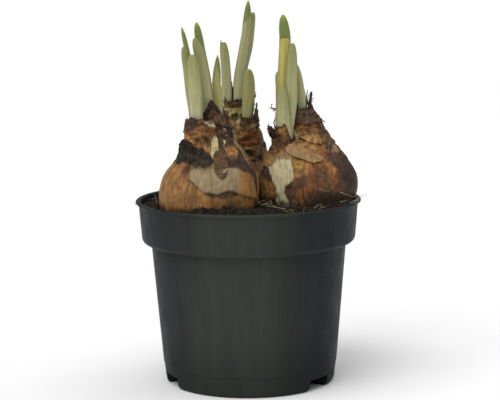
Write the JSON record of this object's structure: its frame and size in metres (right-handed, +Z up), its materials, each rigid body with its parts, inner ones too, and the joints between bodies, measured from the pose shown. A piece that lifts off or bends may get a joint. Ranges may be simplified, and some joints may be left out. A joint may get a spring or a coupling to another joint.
{
  "type": "potted daffodil",
  "caption": "Round nursery pot of peat with sprouting daffodil bulbs: papery brown tunics, ragged noses and pale green young leaves.",
  "frame": {"origin": "on the pot's axis, in the plane that its feet stand on", "axes": "+Z up along the pot's axis, -Y towards the side with the front foot, +X to the right seen from there"},
  "size_m": [0.12, 0.12, 0.2019],
  "materials": {
    "pot": "satin dark grey-green moulded plastic",
    "soil": "matt dark brown peat crumbs",
    "bulb_left": "dry papery golden tan tunic with darker veins",
    "bulb_right": "dry papery reddish brown tunic with dark streaks",
    "bulb_back": "dry fibrous dark brown tunic",
    "leaf_pale": "smooth pale yellow-green leaf with fine lengthwise veins",
    "leaf_green": "smooth leaf, dark green towards its tip",
    "root": "thin dry pale root"
  },
  "bodies": {
    "root": {"pot": "pot", "soil": "soil", "bulb_left": "bulb_left", "bulb_right": "bulb_right", "bulb_back": "bulb_back", "leaf_left_front": "leaf_pale", "leaf_left_spear": "leaf_green", "leaf_left_rear": "leaf_pale", "leaf_middle_sheath": "leaf_pale", "leaf_middle_inner": "leaf_green", "leaf_middle_small": "leaf_pale", "leaf_back_left": "leaf_pale", "leaf_back_left_inner": "leaf_green", "leaf_back_tall": "leaf_pale", "leaf_back_tall_rear": "leaf_pale", "leaf_back_right": "leaf_pale", "leaf_right_front": "leaf_pale", "leaf_right_wide": "leaf_pale", "leaf_right_sheath": "leaf_pale", "leaf_right_tall": "leaf_green", "leaf_right_rear": "leaf_pale", "leaf_right_side": "leaf_pale", "root_upright": "root", "root_loop": "root", "root_long": "root", "root_right": "root"}
  },
  "joints": []
}
